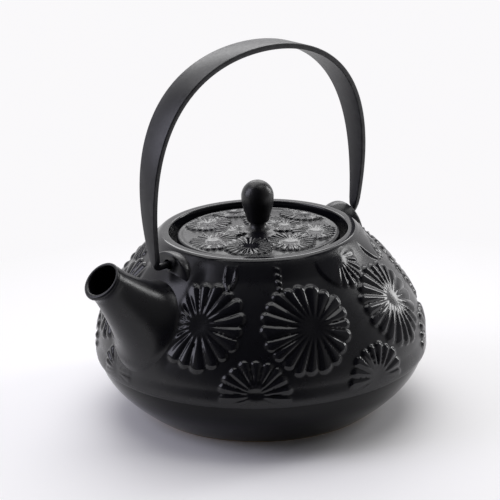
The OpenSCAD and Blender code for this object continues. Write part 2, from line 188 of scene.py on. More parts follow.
class BailSizes(bpy.types.PropertyGroup):
    """The flat steel bail"""

    half_span: length("Half span", "Distance of the strap's end from the axis", 61.81 * MM)
    rise: length("Rise", "Height of the crown above the pivot", 92.7 * MM)
    lean: length("Lean", "How far the sides lean outwards", 16.5 * MM)
    pull: length("Pull", "How far up the sides run before they turn", 88 * MM)
    crown: length("Crown", "How flat the crown is", 18 * MM)
    strap_t: length("Thickness", "Thickness of the strap", 2.6 * MM)
    strap_w: length("Width", "Width of the strap at the crown", 15.4 * MM)
    end_w: length("End width", "Width of the strap at its ends", 4.4 * MM)
    taper_h: length("Taper height", "Height at which the strap is at its full width", 84 * MM)
    taper_power: amount("Taper curve", "How early the strap widens", 1.6)
    pin_r: length("Pin radius", "Radius of the hooked ends", 1.6 * MM)
    pin_x: length("Pin end", "Distance of a hooked end's tip from the axis", 50.5 * MM)
    hook_r: length("Hook radius", "Bend between the pin and the strap", 2.2 * MM)
    edge: length("Edge rounding", "Rounding of the strap's edges", 0.55 * MM)


class LidSizes(bpy.types.PropertyGroup):
    """The lid and its knob"""

    radius: length("Lid radius", "Radius of the lid", LID_BOX[1].x)
    low_z: length("Lid height", "Height of the lid's underside", 79.7 * MM)
    edge_t: length("Edge thickness", "Thickness of the lid at its edge", 4.5 * MM)
    dome: length("Dome", "Rise of the lid towards its middle", 1.4 * MM)
    edge_round: length("Edge rounding", "Rounding of the upper edge", 1.5 * MM)
    ease: length("Small edges", "How far the small lower edges are eased", 0.3 * MM)
    ring_r: length("Ring radius", "Outer radius of the locating ring", 33.6 * MM)
    ring_t: length("Ring thickness", "Thickness of the locating ring", 3 * MM)
    ring_h: length("Ring height", "Height of the locating ring", 6 * MM)
    knob_z: length("Knob height", "Height of the knob's foot", KNOB_BOX[0].z)
    knob_r: length("Knob radius", "Largest radius of the knob", KNOB_BOX[1].x)
    knob_low_r: length("Knob's lower radius", "Radius near the knob's lower end", 5.4 * MM)
    knob_h: length("Drop height", "Height of the drop-shaped part", 20.6 * MM)
    low_round: length("Lower rounding", "Rounding of the drop's lower end", 2 * MM)
    stem_r: length("Stem radius", "Radius of the stem", 3.7 * MM)
    stem_h: length("Stem height", "Height of the stem and its foot", 3.2 * MM)
    foot_r: length("Stem foot radius", "Radius of the stem's flared foot", 6 * MM)
    knob_sunk: length("Let in", "How deep the stem's foot is let into the lid", 0.4 * MM)


class Finishes(bpy.types.PropertyGroup):
    """Glaze, lacquer, clay and steel"""

    glaze: colour("Glaze", "Satin black glaze where it lies thick", (0.005, 0.005, 0.0075))
    glaze_thin: colour("Thin glaze", "Glaze where it breaks over a crest",
                       (0.009, 0.009, 0.012))
    # The lower bowl's colour is the black glaze made darker as painted shade on the bowl that
    # faces the shaded floor.
    bowl: colour("Shaded lower glaze", "Duller glaze of the lower bowl", (0.0035, 0.0035, 0.0045))
    clay: colour("Bare clay", "Unglazed clay of the foot ring", (0.46, 0.37, 0.27))
    knob: colour("Knob glaze", "Glaze of the knob", (0.004, 0.004, 0.005))
    lacquer: colour("Lacquer", "Satin lacquer of the bail", (0.010, 0.010, 0.013))
    worn: colour("Worn lacquer", "Lacquer rubbed along the bail's edges", (0.045, 0.045, 0.05))
    steel: colour("Steel", "Brushed stainless steel", (0.6, 0.6, 0.61))


class StageSettings(bpy.types.PropertyGroup):
    """Floor, lamps and camera"""

    distance: length("Camera distance", "Distance from the aimed point", 1016.6 * MM)
    azimuth: angle("Camera azimuth", "Angle of the camera from the spout", 49.6)
    elevation: angle("Camera elevation", "Angle of the camera above the table", 18.72)
    roll: angle("Camera roll", "Tilt of the camera about its line of sight", -1.545)
    aim: FloatVectorProperty(name="Aim", description="Point that the camera looks at", size=3,
                             subtype="TRANSLATION", default=(3.2 * MM, -2.7 * MM, 74.9 * MM))
    lens: amount("Lens", "Focal length in millimetres", 154.27)
    floor_half: length("Floor", "Half the width of the table", 6.0)
    floor_front: length("Table edge", "Distance of the table's front edge from the pot", 0.2)
    plain_from: length("Plain from", "Distance at which the table starts to turn plain", 0.07)
    plain_at: length("Plain at", "Distance at which it is as plain as the backdrop", 0.26)
    backdrop: colour("Backdrop", "Colour of the backdrop and the floor", (0.955, 0.945, 0.96))
    front: amount("Front level", "Brightness of the room on the camera's side", 0.03)
    left_wall: amount("Left wall", "Brightness of the room at the left", 0.25)
    right_wall: amount("Right wall", "Brightness of the room at the right", 0.3)
    overhead: amount("Overhead lamp", "Power of the overhead lamp in watts", 4.3)
    behind: amount("Lamp behind", "Power of the lamp behind the pot in watts", 2.0)
    left_side: amount("Left lamp", "Power of the left lamp in watts", 3.5)
    right_side: amount("Right lamp", "Power of the right lamp in watts", 2.3)
    left_tint: colour("Left tint", "Colour of the left lamp", (0.86, 0.85, 1.0))


# Meshes -----------------------------------------------------------------------------------

def smooth(share):
    """An S-curve from 0 to 1."""
    share = np.clip(share, 0.0, 1.0)
    return share * share * (3 - 2 * share)


DOUBLINGS = 4


def revolve(outline, steps, closed=True, tag=None):
    """A bmesh turned round Z from an outline of (radius, height) points.
    tag gives each point a number that its vertices keep in the layer "along".
    One wedge is spun and then doubled, because a long spin slows down as it grows."""
    bm = bmesh.new()
    layer = bm.verts.layers.float.new("along")
    verts = [bm.verts.new((r, 0, z)) for r, z in outline]
    for i, v in enumerate(verts):
        v[layer] = -1.0 if tag is None else tag[i]
    pairs = list(zip(verts, verts[1:] + verts[:1])) if closed else list(zip(verts, verts[1:]))
    edges = [bm.edges.new(pair) for pair in pairs]
    wedge = FULL_TURN / 2 ** DOUBLINGS
    bmesh.ops.spin(bm, geom=verts + edges, cent=(0, 0, 0), axis=(0, 0, 1), dvec=(0, 0, 0),
                   angle=wedge, steps=steps // 2 ** DOUBLINGS, use_merge=False,
                   use_duplicate=False)
    for k in range(DOUBLINGS):
        made = bmesh.ops.duplicate(bm, geom=bm.verts[:] + bm.edges[:] + bm.faces[:])["geom"]
        bmesh.ops.rotate(bm, cent=(0, 0, 0), matrix=Matrix.Rotation(wedge * 2 ** k, 3, "Z"),
                         verts=[v for v in made if isinstance(v, bmesh.types.BMVert)])
    bmesh.ops.remove_doubles(bm, verts=bm.verts, dist=1e-6)
    return bm


def finish_mesh(bm, name, sharp_degrees=40, outward=True):
    """Makes an object of a bmesh, with its faces turned outwards and shaded smooth."""
    if outward:
        bmesh.ops.recalc_face_normals(bm, faces=bm.faces)
    mesh = bpy.data.meshes.new(name)
    bm.to_mesh(mesh)
    bm.free()
    obj = bpy.data.objects.new(name, mesh)
    bpy.context.scene.collection.objects.link(obj)
    shade(obj, sharp_degrees)
    return obj


def shade(obj, sharp_degrees):
    """Smooth shading with crisp edges past an angle."""
    obj.data.shade_smooth()
    obj.data.set_sharp_from_angle(angle=math.radians(sharp_degrees))


def coordinates(mesh):
    """All vertices of a mesh as an array."""
    co = np.empty(len(mesh.vertices) * 3, np.float32)
    mesh.vertices.foreach_get("co", co)
    return co.reshape(-1, 3).astype(float)


def set_coordinates(mesh, co):
    """Moves all vertices of a mesh."""
    mesh.vertices.foreach_set("co", co.astype(np.float32).ravel())
    mesh.update()


def store(mesh, name, values):
    """Keeps one number for each vertex, for a material to read."""
    found = mesh.attributes.get(name) or mesh.attributes.new(name, "FLOAT", "POINT")
    found.data.foreach_set("value", values.astype(np.float32))


def stored(mesh, name):
    """The numbers that a mesh keeps for its vertices."""
    values = np.empty(len(mesh.vertices), np.float32)
    mesh.attributes[name].data.foreach_get("value", values)
    return values.astype(float)


def carve(obj, cutter, sharp_degrees):
    """Cuts the closed shells of one object out of another, and removes the cutter."""
    cut = obj.modifiers.new("carve", "BOOLEAN")
    cut.operation = "DIFFERENCE"
    cut.solver = "EXACT"
    cut.object = cutter
    bpy.context.view_layer.update()
    carved = bpy.data.meshes.new_from_object(
        obj.evaluated_get(bpy.context.evaluated_depsgraph_get()))
    obj.modifiers.clear()
    old = obj.data
    carved.name = old.name
    obj.data = carved
    bpy.data.meshes.remove(old)
    bpy.data.objects.remove(cutter)
    if len(carved.polygons) == 0:
        raise RuntimeError(f"nothing is left of {obj.name}")
    shade(obj, sharp_degrees)
    return obj


def steps_between(low, high, step):
    """Evenly spaced values from low to high, about a step apart."""
    return np.linspace(low, high, max(2, int(round(abs(high - low) / step)) + 1))


# Outlines ---------------------------------------------------------------------------------

# Angle in degrees at which the wall runs into the rim's rounding
RIM_LEAVES = 45


def arc(r, z, radius, start, end, count):
    """Points (radius, height) of an arc about a centre, between two angles in degrees."""
    return [(r + radius * math.cos(t), z + radius * math.sin(t))
            for t in np.radians(np.linspace(start, end, count))]


def shoulder_outline(pot, step):
    """Outer surface in its parts: the ridge, the wall in even steps with the length run up
    to each of its points, and the rim, which ends inside the mouth."""
    e = pot.ridge_round
    ridge = arc(pot.ridge_r - e, pot.waist_z + e, e, -90, 0, 6)[:-1]
    share = np.linspace(0, 1, 20)
    lower = [(pot.belly_r - (pot.belly_r - pot.ridge_r) * (1 - s) ** 2,
              pot.waist_z + e + (pot.belly_z - pot.waist_z - e) * s) for s in share]
    crest_r = pot.mouth_r + pot.rim_round
    leave = math.radians(RIM_LEAVES)
    top_r = crest_r + pot.rim_round * math.sin(leave)
    top_z = pot.height - pot.rim_round * (1 - math.cos(leave))
    share = np.linspace(0, 1, 240)[1:]
    upper = [(top_r + (pot.belly_r - top_r) * (1 - s ** pot.shoulder_fullness),
              pot.belly_z + (top_z - pot.belly_z) * s) for s in share]
    line = np.array(lower + upper)
    run = np.concatenate([[0], np.cumsum(np.hypot(*np.diff(line, axis=0).T))])
    even = steps_between(0, run[-1], step)
    wall = np.column_stack([np.interp(even, run, line[:, 0]), np.interp(even, run, line[:, 1])])
    rim = arc(crest_r, pot.height - pot.rim_round, pot.rim_round, RIM_LEAVES, 90, 7)[1:]
    rim += arc(pot.mouth_r + pot.lip_round, pot.height - pot.lip_round, pot.lip_round, 90, 180, 7)
    return ridge, wall, even, rim


def plain_wall(pot):
    """The wall without its relief, as (radius, height) points."""
    return shoulder_outline(pot, 0.5 * MM)[1]


def wall_radius(pot, z):
    """Outer radius of the pot at a height, for heights above its ridge."""
    wall = plain_wall(pot)
    return np.interp(z, wall[:, 1], wall[:, 0])


def wall_height(pot, r):
    """Height of the shoulder's surface at a radius."""
    wall = plain_wall(pot)
    above = wall[wall[:, 1] >= pot.belly_z]
    return np.interp(r, above[::-1, 0], above[::-1, 1])


def bowl_curve(low_r, high_r, low_z, high_z, fullness, count):
    """A full curve that widens upwards, as (radius, height) points."""
    share = np.linspace(0, 1, count)
    return [(low_r + (high_r - low_r) * (1 - (1 - s) ** fullness),
             low_z + (high_z - low_z) * s) for s in share]


# Flowers ----------------------------------------------------------------------------------

# Angle from the spout in degrees, height in mm, radius in mm, petals, turn in petals, and
# the heart's offset round and up in mm.
MAIN_FLOWERS = (
    (25.5, 61.0, 22.0, 18, 0.2, 0.0, 0.5),
    (66.9, 59.4, 22.3, 20, 0.1, 3.6, 0.7),
    (111.5, 59.0, 22.5, 20, 0.4, 2.2, 2.4),
    (157.5, 59.5, 22.0, 19, 0.3, -2.5, 1.0),
    (202.5, 60.0, 22.2, 20, 0.0, 2.0, 0.5),
    (247.5, 59.4, 22.4, 19, 0.6, -2.0, 1.5),
    (292.5, 59.8, 22.2, 20, 0.8, 1.5, 0.8),
    (-24.0, 60.5, 22.0, 18, 0.5, -1.0, 0.5),
)
LOWER_FLOWERS = (
    (-9.0, 32.0, 13.0, 16, 0.3, 0.0, 0.0),
    (46.9, 32.5, 17.5, 18, 0.6, 0.5, 0.5),
    (91.5, 31.5, 17.5, 18, 0.2, 0.0, 1.0),
    (135.0, 32.0, 17.2, 17, 0.5, 0.5, 0.0),
    (180.0, 31.5, 17.5, 18, 0.1, -0.5, 0.5),
    (225.0, 32.5, 17.2, 18, 0.7, 0.0, 0.0),
    (270.0, 31.5, 17.5, 17, 0.4, 0.5, 1.0),
    (315.0, 32.0, 17.4, 18, 0.9, -0.5, 0.0),
)
# Flowers under the rim are seen from their side: one flank is smooth, like a cupped leaf
UPPER_FLOWERS = (
    (94.0, 80.5, 13.5, 18, 0.3, 1.0, 2.0),
    (131.0, 81.0, 12.5, 17, 0.1, 1.0, 2.0),
    (226.0, 80.5, 13.0, 18, 0.5, 1.0, 2.0),
    (270.0, 81.0, 12.5, 17, 0.7, 1.0, 2.0),
    (316.0, 80.5, 13.0, 18, 0.2, 1.0, 2.0),
)
# Angle in degrees, distance from the axis in mm, radius in mm, petals, turn in petals
LID_FLOWERS = (
    (-111, 33.0, 12.0, 20, 0.2),
    (-68, 27.0, 12.0, 20, 0.6),
    (-6, 25.5, 12.2, 21, 0.1),
    (39, 24.0, 12.4, 22, 0.4),
    (88, 23.5, 12.4, 22, 0.0),
    (133, 27.0, 12.2, 20, 0.5),
    (-172, 33.0, 12.2, 20, 0.3),
    (-140, 13.5, 10.0, 18, 0.7),
    (160, 13.5, 10.0, 18, 0.2),
    (-35, 12.5, 9.0, 16, 0.6),
)
# Angle from the spout in degrees of the buds and of the twisted stems below the rim
BUDS = (35.0, 205.0)
STEMS = (58.5, 155.0, 250.0)
# A cupped flower: the side that shows its petals (round, up), how sharply they end, the
# radius of its smooth flank and how far it falls towards its edge, as shares
CUP_SIDE = (0.9, -0.45)
CUP_SHARP = 1.2
CUP_FLANK = 0.97
CUP_FALL = 0.35
# How far a round tip falls, and the radius within which the heart is sunk, as shares
TIP_FALL, HEART_R = 0.8, 0.6
# How far past its outline a petal's slope reaches, in widths of the slope
SLOPE_PAST = 0.2
# Points farther than this from a flower's centre, in radii, are clear of it
CLEAR = 1.1


def petals(x, y, radius, count, turn, heart_x, heart_y, relief, power, cupped=False):
    """Height from 0 to 1 of a flower at points given from its centre, in metres.
    A cupped flower has a high heart, and its petals show on one side only. A lower power
    makes full petals with narrow grooves."""
    ux, uy = x - heart_x, y - heart_y
    dist = np.hypot(ux, uy) + 1e-9
    cos, sin = ux / dist, uy / dist
    along = heart_x * cos + heart_y * sin
    reach = -along + np.sqrt(along ** 2 + radius ** 2 - heart_x ** 2 - heart_y ** 2)
    share = dist / reach
    tip = np.arctan2(heart_y + reach * sin, heart_x + reach * cos)
    phase = (tip / FULL_TURN * count + turn
             + relief.uneven * np.sin(3 * tip + 7 * turn) + 0.5 * relief.uneven * np.sin(7 * tip))
    petal = np.round(phase)
    across = np.abs(phase - petal) * 2
    round_tip = relief.tip_round / count
    varied = 0.5 + 0.5 * np.sin(petal * 2.4 + 5 * turn)
    length_of = 1 - relief.uneven_tips * varied
    limit = length_of - round_tip * (1 - np.sqrt(np.clip(1 - across ** 2, 0, 1)))
    grow = smooth((share - relief.groove_start) / relief.groove_run)
    beyond = np.clip((share - length_of + round_tip) / round_tip, 0, 1)
    convex = np.clip(1 - across ** 2 - TIP_FALL * beyond ** 2, 0, 1) ** power
    shown = 1.0
    fall = relief.heart + (1 - relief.heart) * smooth(share / HEART_R)
    if cupped:
        shown = smooth(0.5 + CUP_SHARP * (CUP_SIDE[0] * cos + CUP_SIDE[1] * sin))
        limit = limit * shown + CUP_FLANK * (1 - shown)
        fall = 1 - CUP_FALL * share ** 2
    edge = smooth((limit - share) * radius / relief.edge + SLOPE_PAST)
    return edge * (1 - relief.flute * grow * shown * (1 - convex)) * fall


def bud(x, y, relief):
    """Height from 0 to 1 of a small closed bud that points down, at points given from its
    centre, in metres. It is a little hollow within its lip."""
    lip, slope, hollow, depth = 0.7 * MM, 1.1 * MM, 1.8 * MM, 0.7
    v = y / relief.bud_h
    width = relief.bud_w * np.sqrt(np.clip(1 - np.clip(-v, 0, 1) ** 1.5, 0, 1)) * (v <= 1)
    within = width - np.abs(x)
    return smooth(within / slope) * (1 - depth * smooth((within - lip) / hollow))


def stem(x, y, relief):
    """Height from 0 to 1 of a short twisted stem that narrows downwards, at points given
    from its centre, in metres."""
    slope = 1.5 * MM
    twist = 0.6 + 0.4 * np.cos(FULL_TURN * (y + 0.5 * x) / relief.stem_pitch)
    taper = np.clip(0.8 + 0.3 * y / relief.stem_h, 0.5, 1)
    body = np.clip(1 - (x / (relief.stem_w * taper)) ** 2, 0, 1)
    return np.sqrt(body) * smooth((relief.stem_h - np.abs(y)) / slope) * twist


def wrap(a):
    """An angle in radians brought between -180 and 180 degrees."""
    return (a + math.pi) % FULL_TURN - math.pi


# Pieces -----------------------------------------------------------------------------------

# Faces round each piece
CHANNEL_STEPS, HOLE_STEPS, BOWL_STEPS, SPOUT_STEPS = 96, 48, 288, 160
LUG_STEPS, LID_STEPS, KNOB_STEPS, STRAP_STEPS = 128, 448, 128, 40
# How far the channel's taper is drawn past the opening and past the root
BORE_PAST = 1 * MM
# Distance down the spout's axis at which the pot's part of the channel starts
CUT_FROM = 14 * MM
# Distance down the spout's axis by which the spout has gone into the wall
SPOUT_END = 70 * MM
# A distance, in metres, at which nothing is near
FAR = 1.0
# How far under the seat the relief's skin and the bowl's hidden side end
UNDER_SEAT = 3 * MM
# How glossy the rim and the ridge are, on the scale of a petal's crest, and how wide
GLOSSY_EDGE, GLOSSY_EDGE_W = 0.5, 1.5 * MM
# The spout's lip: where its rounding ends and how far the outside stays in, in lip radii
LIP_END, LIP_IN = 1.6, 0.12
# Length up the spout over which its fillet dies away, in fillets
FILLET_RUN = 1.6
# Angle in degrees at which the drop's side leaves its lower rounding
DROP_LEAN = 12


def channel_cutter(spout, lug, with_holes):
    """Closed shells to cut from the pot: the spout's channel and, if asked, both blind holes."""
    s = np.array([CUT_FROM, spout.root_s + BORE_PAST])
    r = bore_radius(spout, s)
    bm = revolve([(0, s[0]), (r[0], s[0]), (r[1], s[1]), (0, s[1])], CHANNEL_STEPS, closed=False)
    bmesh.ops.transform(bm, matrix=spout_matrix(spout), verts=bm.verts)
    for side in (1, -1) if with_holes else ():
        hole = hole_shell(lug, side)
        mesh = bpy.data.meshes.new("hole")
        hole.to_mesh(mesh)
        hole.free()
        bm.from_mesh(mesh)
        bpy.data.meshes.remove(mesh)
    return finish_mesh(bm, "channel_cutter")


def hole_shell(lug, side):
    """The blind hole of one lug, with an eased mouth."""
    eased, clear = 0.6 * MM, 3 * MM
    deep = lug.hole_depth
    mouth = arc(lug.hole_r + eased, deep - eased, eased, 180, 90, 7)
    outline = ([(0, 0), (lug.hole_r - eased, 0), (lug.hole_r, eased)] + mouth
               + [(lug.hole_r + eased, deep + clear), (0, deep + clear)])
    bm = revolve(outline, HOLE_STEPS, closed=False)
    place = (Matrix.Translation((side * (lug.face_x - deep), 0, lug.pivot_z))
             @ Matrix.Rotation(side * math.pi / 2, 4, "Y"))
    bmesh.ops.transform(bm, matrix=place, verts=bm.verts)
    bmesh.ops.recalc_face_normals(bm, faces=bm.faces)
    return bm


def spout_matrix(spout):
    """Turns +Z to run down the channel from the centre of the opening."""
    return (Matrix.Translation((spout.tip_x, 0, spout.tip_z))
            @ Matrix.Rotation(-(math.pi / 2 + spout.rise), 4, "Y"))


def pot_relief(relief, theta, r, s, s_at):
    """Height from 0 to 1 of all the moulded forms on the pot's wall."""
    high = np.zeros_like(theta)
    for flowers in (MAIN_FLOWERS, LOWER_FLOWERS, UPPER_FLOWERS):
        for deg, up, size, count, turn, heart_x, heart_y in flowers:
            x = wrap(theta - math.radians(deg)) * r
            y = s - s_at(up * MM)
            near = np.hypot(x, y) < CLEAR * size * MM
            form = petals(x[near], y[near], size * MM, count, turn, heart_x * MM, heart_y * MM,
                          relief, relief.pot_power, cupped=flowers is UPPER_FLOWERS)
            high[near] = np.maximum(high[near], form)
    for places, shape, level, share in ((BUDS, bud, relief.bud_z, 0.9),
                                        (STEMS, stem, relief.stem_z, 1.0)):
        for deg in places:
            x = wrap(theta - math.radians(deg)) * r
            high = np.maximum(high, share * shape(x, s - s_at(level), relief))
    return high


def make_pot_shoulder(sizes):
    """The upper body with its moulded flowers, from the ridge over the rim to the seat."""
    pot, relief, spout, lug = sizes.pot, sizes.relief, sizes.spout, sizes.lugs
    ridge, wall, run, rim = shoulder_outline(pot, pot.rise_step)
    above_seat, below_seat, above_ridge = 1.5 * MM, 0.5 * MM, 4 * MM
    inner_ridge = [(pot.waist_r - pot.lap, pot.waist_z)]
    mouth = [(pot.mouth_r, pot.seat_z + above_seat), (pot.mouth_r, pot.seat_z - below_seat)]
    back_z = np.linspace(pot.seat_z - UNDER_SEAT, pot.waist_z + above_ridge, 9)
    back = [(wall_radius(pot, z) - pot.skin_t, z) for z in back_z]
    outline = inner_ridge + ridge + [tuple(p) for p in wall] + rim + mouth + back
    tag = [-1.0] * (1 + len(ridge)) + list(run)
    tag += [-1.0] * (len(rim) + len(mouth) + len(back))
    bm = revolve(outline, pot.turn_steps, tag=tag)
    obj = finish_mesh(bm, "pot_shoulder", 60)
    mesh = obj.data
    co = coordinates(mesh)
    s = stored(mesh, "along")
    face = s >= 0
    theta = np.arctan2(co[face, 1], co[face, 0])
    r, z = np.hypot(co[face, 0], co[face, 1]), co[face, 2]
    slope = np.gradient(wall, run, axis=0)
    out_r = np.interp(s[face], run, slope[:, 1])
    out_z = np.interp(s[face], run, -slope[:, 0])

    def s_at(height):
        return np.interp(height, wall[:, 1], run)

    high = pot_relief(relief, theta, r, s[face], s_at)
    matrix = spout_matrix(spout).inverted()
    local = (np.array(matrix)[:3, :3] @ co[face].T).T + np.array(matrix)[:3, 3]
    from_spout = np.hypot(local[:, 0], local[:, 1]) - spout_radius(spout, local[:, 2])
    from_spout = np.where(local[:, 2] > SPOUT_END, FAR, from_spout)
    # A lug is near only at the two sides that have one
    beside = np.where(np.abs(co[face, 0]) > 0.6 * lug.face_x, co[face, 1], FAR)
    from_lug = np.hypot(beside, z - lug.centre_z) - lug.radius
    rise_by_spout, rise_by_lug = 5 * MM, 4 * MM
    high *= smooth((from_spout - spout.bare) / rise_by_spout)
    high *= smooth((from_lug - lug.bare) / rise_by_lug)
    ground = smooth((run[-1] - s[face]) / relief.rim_fade)
    ground *= smooth(s[face] / relief.ridge_fade)
    ground *= smooth(from_spout / relief.spout_fade) * smooth(from_lug / relief.lug_fade)
    sink = relief.pot_depth * ground * (1 - high)
    radial = (r - out_r * sink) / r
    co[face, 0] *= radial
    co[face, 1] *= radial
    co[face, 2] -= out_z * sink
    set_coordinates(mesh, co)
    crest = np.zeros(len(co))
    crest[face] = high * ground
    glossy_rim = smooth((co[:, 2] - pot.height + GLOSSY_EDGE_W) / MM)
    glossy_ridge = smooth((pot.waist_z + GLOSSY_EDGE_W - co[:, 2]) / MM)
    crest = np.maximum(crest, GLOSSY_EDGE * np.maximum(glossy_rim, glossy_ridge))
    store(mesh, "crest", crest)
    carve(obj, channel_cutter(spout, lug, True), 60)
    return obj


def make_pot_bowl(sizes):
    """Foot, lower bowl, hollow and seat, up inside the relief's skin."""
    pot = sizes.pot
    floor_z = pot.foot_recess + pot.floor_t
    neck_r, neck_z = pot.mouth_r - pot.ledge_w, pot.seat_z - pot.ledge_t
    e = pot.foot_round
    inner_foot = arc(pot.foot_r - pot.foot_w + e, e, e, 180, 270, 5)
    outer_foot = bowl_curve(pot.foot_r, pot.waist_r, 0, pot.waist_z, pot.bowl_fullness, 60)
    outer_foot[0] = (pot.foot_r - e, 0)
    outer_foot.insert(1, (pot.foot_r - 0.3 * e, 0.25 * e))
    start_z, drawn_in, past_mouth, ease = pot.waist_z + 1.5 * MM, 0.2 * MM, 2 * MM, 0.4 * MM
    hidden = [(wall_radius(pot, z) - (pot.skin_t - pot.lap), z)
              for z in np.linspace(start_z, pot.seat_z - UNDER_SEAT, 10)]
    hidden[0] = (pot.waist_r - drawn_in, start_z)
    seat = [(pot.mouth_r + past_mouth, pot.seat_z), (neck_r + ease, pot.seat_z),
            (neck_r, pot.seat_z - ease)]
    share = np.linspace(1, 0, 28)
    upper = [(neck_r + (pot.belly_r - pot.wall - neck_r) * (1 - s ** pot.cavity_fullness),
              pot.belly_z + (neck_z - pot.belly_z) * s) for s in share]
    lower = bowl_curve(pot.foot_r - pot.wall, pot.belly_r - pot.wall, floor_z, pot.belly_z,
                       pot.bowl_fullness, 24)[::-1][1:]
    outline = ([(0, pot.foot_recess), (pot.foot_r - pot.foot_w, pot.foot_recess)] + inner_foot
               + outer_foot + hidden + seat + upper + lower + [(0, floor_z)])
    bm = revolve(outline, BOWL_STEPS, closed=False)
    obj = finish_mesh(bm, "pot_bowl", 40)
    return carve(obj, channel_cutter(sizes.spout, sizes.lugs, False), 40)


def spout_radius(spout, s):
    """Outer radius of the spout at a distance down its axis."""
    share = np.clip((s - spout.neck_s) / (spout.root_s - spout.neck_s), 0, 1.6)
    return spout.neck_r + (spout.root_r - spout.neck_r) * share ** spout.flare


def bore_radius(spout, s):
    """Radius of the channel at a distance down its axis."""
    grow = (spout.root_bore_r - spout.bore_r) / (spout.root_s + 2 * BORE_PAST)
    return spout.bore_r + grow * (s + BORE_PAST)


def lip_flare(spout, s, lip_r, lip):
    """How much wider the spout is at a distance down its axis, from its neck to its lip."""
    behind = np.clip((spout.neck_s - s) / (spout.neck_s - lip), 0, 1)
    return (lip_r - LIP_IN * lip - spout.neck_r) * smooth(behind) ** 1.5


def make_spout(sizes):
    """The spout: a rounded lip, a narrow neck and a flared root that is let into the wall."""
    pot, spout = sizes.pot, sizes.spout
    lip = (spout.tip_r - spout.bore_r) / 2
    rounded = arc(spout.tip_r - lip, lip, lip, 10, -190, 15)
    share = np.linspace(0, 1, 46)
    outer_s = lip * LIP_END + (spout.root_s - lip * LIP_END) * share[::-1]
    inner_s = lip * LIP_END + (spout.root_s - lip * LIP_END) * share[::2]
    outer_r = spout_radius(spout, outer_s) + lip_flare(spout, outer_s, spout.tip_r, lip)
    inner_r = bore_radius(spout, inner_s)
    outline = list(zip(outer_r, outer_s)) + rounded + list(zip(inner_r, inner_s))
    tag = list(share[::-1]) + [0.0] * len(rounded) + list(-share[::2])
    bm = revolve(outline, SPOUT_STEPS, tag=tag)
    obj = finish_mesh(bm, "spout_body", 50)
    mesh = obj.data
    co = coordinates(mesh)
    tag = stored(mesh, "along")
    matrix = np.array(spout_matrix(spout))
    turned, shift = matrix[:3, :3], matrix[:3, 3]
    phi = np.arctan2(co[:, 1], co[:, 0])

    def surface_s(radius_at, sunk):
        """Distance down the axis at which a line of the spout is so deep in the wall."""
        low, high = np.full(len(co), spout.neck_s), np.full(len(co), SPOUT_END)
        for _ in range(40):
            mid = (low + high) / 2
            rad = radius_at(mid)
            point = np.column_stack([rad * np.cos(phi), rad * np.sin(phi), mid]) @ turned.T
            point += shift
            wall_r = wall_radius(pot, np.clip(point[:, 2], pot.waist_z + 1 * MM, None))
            outside = np.hypot(point[:, 0], point[:, 1]) > wall_r - sunk
            low, high = np.where(outside, mid, low), np.where(outside, high, mid)
        return low

    # The lip is thick where it pours and thin towards the pot
    lip_r = (spout.tip_r + spout.back_r) / 2 - (spout.tip_r - spout.back_r) / 2 * np.cos(phi)
    scale = (lip_r - spout.bore_r) / (spout.tip_r - spout.bore_r)
    start = lip * LIP_END * scale
    rad = spout.bore_r + (np.hypot(co[:, 0], co[:, 1]) - spout.bore_r) * scale
    co[:, 0], co[:, 1], co[:, 2] = rad * np.cos(phi), rad * np.sin(phi), co[:, 2] * scale
    for sign, radius_at, swell in ((1, lambda s: spout_radius(spout, s), spout.fillet),
                                   (-1, lambda s: bore_radius(spout, s), 0.0)):
        part = (tag * sign) > 0
        end = surface_s(radius_at, spout.sunk)[part]
        meet = surface_s(radius_at, 0.0)[part]
        s = start[part] + (end - start[part]) * np.abs(tag[part])
        rad = radius_at(s)
        if swell:
            rad += lip_flare(spout, s, lip_r[part], lip * scale[part])
            rad += swell * np.exp(-np.clip(meet - s, 0, None) / (FILLET_RUN * swell))
        co[part, 0] = rad * np.cos(phi[part])
        co[part, 1] = rad * np.sin(phi[part])
        co[part, 2] = s
    set_coordinates(mesh, co @ turned.T + shift)
    return obj


def make_lug(sizes, side, name):
    """A half-round lug with a blind hole, let into the shoulder."""
    pot, lug = sizes.pot, sizes.lugs
    front = arc(lug.radius - lug.edge, -lug.edge, lug.edge, 90, 0, 8)
    turn = np.radians(np.linspace(0, 90, 28))[1:]
    back = [(lug.radius * math.cos(t), -lug.edge - (lug.depth - lug.edge) * math.sin(t))
            for t in turn]
    back[-1] = (0, -lug.depth)
    bm = revolve([(0, 0)] + front + back, LUG_STEPS, closed=False)
    place = (Matrix.Translation((side * lug.face_x, 0, lug.centre_z))
             @ Matrix.Rotation(side * math.pi / 2, 4, "Y"))
    bmesh.ops.transform(bm, matrix=place, verts=bm.verts)
    obj = finish_mesh(bm, name, 50)
    cutter = finish_mesh(hole_shell(lug, side), "hole_cutter")
    carve(obj, cutter, 50)
    co = coordinates(obj.data)
    bottom = wall_height(pot, np.hypot(co[:, 0], co[:, 1])) - lug.sunk
    of_hole = np.hypot(co[:, 1], co[:, 2] - lug.pivot_z) < lug.hole_r + 1 * MM
    co[:, 2] = np.where(of_hole, co[:, 2], np.maximum(co[:, 2], bottom))
    set_coordinates(obj.data, co)
    return obj


def arch_point(bail, pivot_z, t):
    """Point (x, z) of the strap's middle line, from the pivot at 0 to the crown at 1."""
    ends = np.array([(bail.half_span, pivot_z), (bail.half_span + bail.lean, pivot_z + bail.pull),
                     (bail.crown, pivot_z + bail.rise), (0, pivot_z + bail.rise)])
    weights = np.column_stack([(1 - t) ** 3, 3 * (1 - t) ** 2 * t, 3 * (1 - t) * t ** 2, t ** 3])
    return weights @ ends


